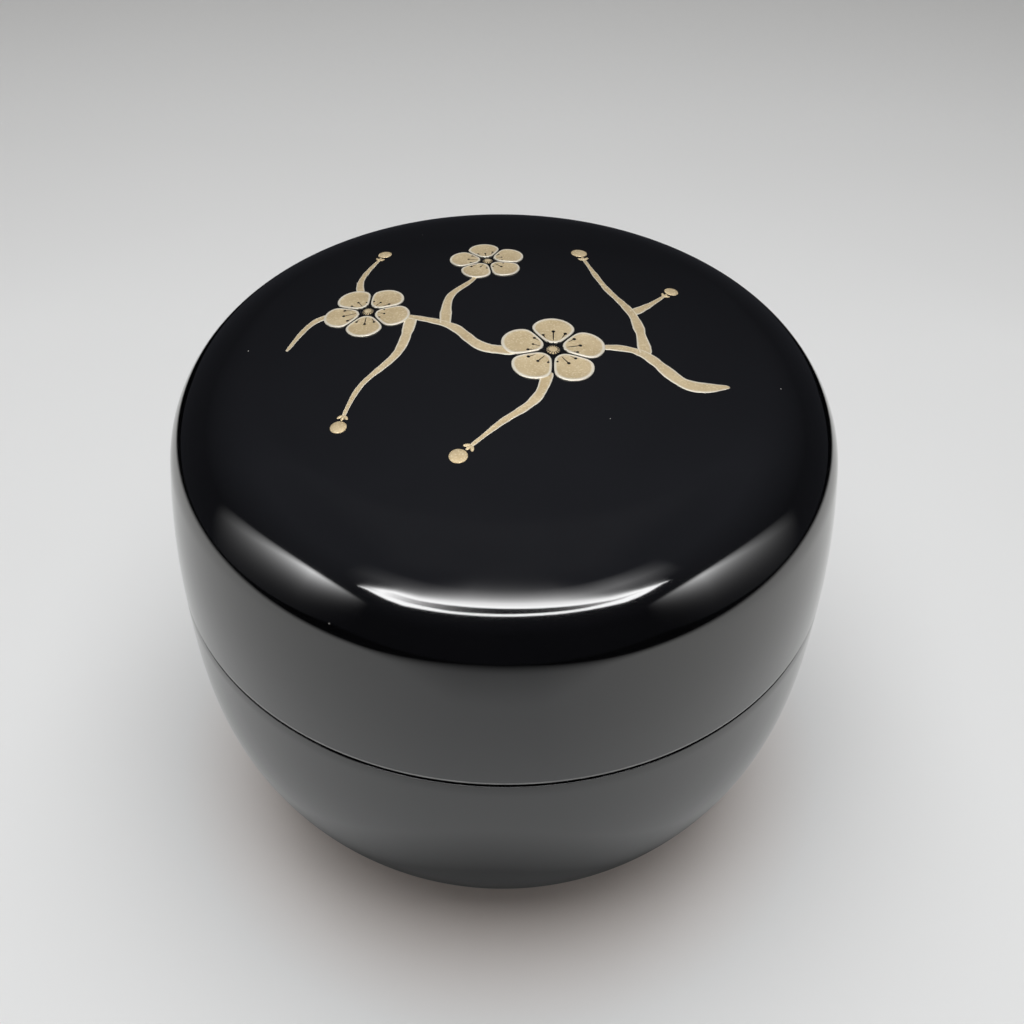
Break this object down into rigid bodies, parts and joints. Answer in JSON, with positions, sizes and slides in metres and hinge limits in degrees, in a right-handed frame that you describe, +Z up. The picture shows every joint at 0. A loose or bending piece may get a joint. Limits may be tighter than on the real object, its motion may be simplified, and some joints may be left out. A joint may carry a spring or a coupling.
{
  "type": "lacquer tea caddy",
  "caption": "Round black lacquer tea caddy: a turned bowl with a standing inner lip, and a domed lift-off lid with a raised gold blossom spray; keeps powdered tea.",
  "frame": {"origin": "middle of the foot, on the surface that the caddy stands on", "axes": "+Z up along the turning axis; -Y is the side that the picture looks at"},
  "size_m": [0.07, 0.07, 0.0633],
  "materials": {
    "body_lacquer": "high-gloss black lacquer over turned wood",
    "lid_lacquer": "high-gloss black lacquer over turned wood",
    "gold": "pale gold powder, satin, with a fine grain"
  },
  "bodies": {
    "caddy_body": {"body": "body_lacquer", "bottom_board": "body_lacquer"},
    "caddy_lid": {"lid": "lid_lacquer", "gold_blossom_1": "gold", "gold_blossom_2": "gold", "gold_blossom_3": "gold", "gold_bud_1": "gold", "gold_bud_2": "gold", "gold_bud_3": "gold", "gold_bud_4": "gold", "gold_bud_5": "gold", "gold_twig_1": "gold", "gold_twig_2": "gold", "gold_twig_3": "gold", "gold_twig_4": "gold", "gold_twig_5": "gold", "gold_twig_6": "gold", "gold_twig_7": "gold", "gold_twig_8": "gold", "gold_twig_9": "gold"}
  },
  "joints": [
    {"name": "lid_lift", "type": "slide", "parent": "caddy_body", "child": "caddy_lid", "axis": [0, 0, 1], "range_m": [0, 0.04]}
  ]
}
